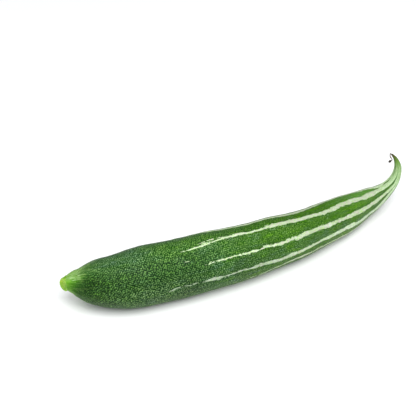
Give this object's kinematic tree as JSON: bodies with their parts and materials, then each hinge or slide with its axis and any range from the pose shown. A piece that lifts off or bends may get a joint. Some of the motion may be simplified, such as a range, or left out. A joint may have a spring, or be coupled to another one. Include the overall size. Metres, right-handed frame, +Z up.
{
  "type": "snake gourd",
  "caption": "Short striped snake gourd lying on its side: smooth dark green fruit with pale stripes, a cut stem stub, a thin hooked tip and the withered flower.",
  "frame": {"origin": "on the resting surface, under the middle of the gourd's bounding box", "axes": "+X from the stem end towards the hooked flower end, +Z up from the surface it lies on, +Y towards the inside of its bend"},
  "size_m": [0.3216, 0.0588, 0.0494],
  "materials": {
    "gourd_skin": "smooth waxy skin, semi-gloss",
    "stem": "matte, fibrous cut end",
    "withered_flower": "dry, crumpled"
  },
  "bodies": {
    "root": {"gourd_fruit": "gourd_skin", "stem_stub": "stem", "dried_flower": "withered_flower"}
  },
  "joints": []
}
